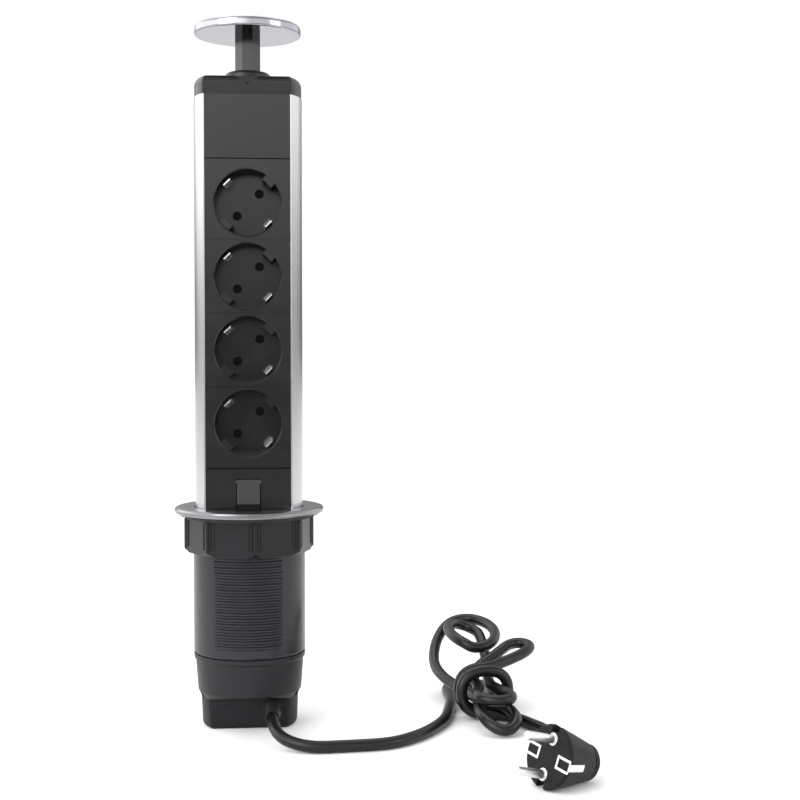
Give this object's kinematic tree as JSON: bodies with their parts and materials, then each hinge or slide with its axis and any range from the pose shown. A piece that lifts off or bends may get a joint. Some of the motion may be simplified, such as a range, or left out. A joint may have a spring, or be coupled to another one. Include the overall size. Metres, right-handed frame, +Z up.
{
  "type": "pull-up socket tower",
  "caption": "Round-backed socket tower with a flat front, pull lid, worktop flange, clamp nut, cable box, and a bundled cord with an angled plug.",
  "frame": {"origin": "centre of the underside of the cable box, on the surface it stands on", "axes": "+Z up along the tower, -Y out of the flat front with the sockets, +X to the side on which the cord lies"},
  "size_m": [0.2335, 0.2529, 0.4246],
  "materials": {
    "brushed_profile": "satin anodised, fine lengthwise lines",
    "cap_black": "moulded, half gloss",
    "bush_black": "moulded, half gloss",
    "stem_black": "moulded, half gloss",
    "lid_silver": "polished",
    "spring_steel": "drawn wire",
    "screw_steel": "zinc plated",
    "inner_black": "moulded",
    "panel_black": "moulded, half gloss",
    "fascia_black": "moulded, half gloss",
    "contact_brass": "stamped",
    "clip_nickel": "nickel plated",
    "latch_black": "fine texture",
    "collar_black": "fine texture",
    "box_black": "fine texture",
    "terminal_white": "moulded",
    "wire_blue": "insulation",
    "wire_green": "insulation",
    "wire_brown": "insulation",
    "flange_silver": "satin anodised",
    "tube_black": "moulded",
    "shelf_black": "moulded",
    "gasket_rubber": "soft rubber",
    "washer_black": "moulded",
    "nut_black": "moulded, fine texture",
    "cord_black": "smooth jacket",
    "plug_black": "moulded",
    "pin_nickel": "nickel plated"
  },
  "bodies": {
    "tower": {"tower_profile": "brushed_profile", "top_cap": "cap_black", "stem_bush": "bush_black", "catch_housing": "inner_black", "catch_screws": "screw_steel", "cap_screws": "screw_steel", "knob_spring": "spring_steel", "blank_panel": "panel_black", "socket_fascia": "fascia_black", "socket_carrier": "inner_black", "live_bar": "contact_brass", "neutral_bar": "contact_brass", "earth_bar": "contact_brass", "foot_panel": "panel_black", "latch_pin": "screw_steel", "latch_spring": "spring_steel", "stop_collar": "collar_black", "collar_screws": "screw_steel", "cable_box": "box_black", "box_cover": "box_black", "cover_screws": "screw_steel", "terminal_block": "terminal_white", "terminal_screws": "contact_brass", "neutral_wire": "wire_blue", "earth_wire": "wire_green", "live_wire": "wire_brown", "cord_clamp": "inner_black", "clamp_screws": "screw_steel", "cord_boot": "cord_black", "cord_lead": "cord_black", "cord_hank": "cord_black", "cord_tail": "cord_black", "plug_body": "plug_black", "plug_pins": "pin_nickel", "plug_earth_clips": "pin_nickel", "earth_clip_1": "clip_nickel", "earth_clip_2": "clip_nickel", "earth_clip_3": "clip_nickel", "earth_clip_4": "clip_nickel"},
    "collar": {"flange_ring": "flange_silver", "guide_shelf": "shelf_black", "threaded_tube": "tube_black", "flange_gasket": "gasket_rubber"},
    "knob": {"lid_disc": "lid_silver", "pull_stem": "stem_black", "stem_clip": "spring_steel"},
    "latch": {"latch_button": "latch_black"},
    "washer": {"pressure_washer": "washer_black"},
    "nut": {"clamp_nut": "nut_black"}
  },
  "joints": [
    {"name": "collar_slide", "type": "slide", "parent": "tower", "child": "collar", "axis": [0, 0, 1], "range_m": [0, 0.2655]},
    {"name": "knob_slide", "type": "slide", "parent": "tower", "child": "knob", "axis": [0, 0, 1], "range_m": [-0.02, 0], "stiffness_N_per_m": 180, "springref_m": 0.015, "deforming": ["knob_spring"]},
    {"name": "latch_press", "type": "hinge", "parent": "tower", "child": "latch", "pos_m": [0, -0.0148, 0.1494], "axis": [1, 0, 0], "range_deg": [0, 12.5], "stiffness_Nm_per_rad": 0.04, "springref_deg": -20.05, "deforming": ["latch_spring"]},
    {"name": "nut_travel", "type": "slide", "parent": "collar", "child": "washer", "axis": [0, 0, 1], "range_m": [-0.0506, 0]},
    {"name": "nut_turn", "type": "hinge", "parent": "washer", "child": "nut", "pos_m": [0, 0, 0.1164], "axis": [0, 0, 1], "range_deg": [-5400, 0]}
  ],
  "couplings": [
    {"joint": "nut_travel", "follows": "nut_turn", "m_per_rad": 0.00053636}
  ]
}
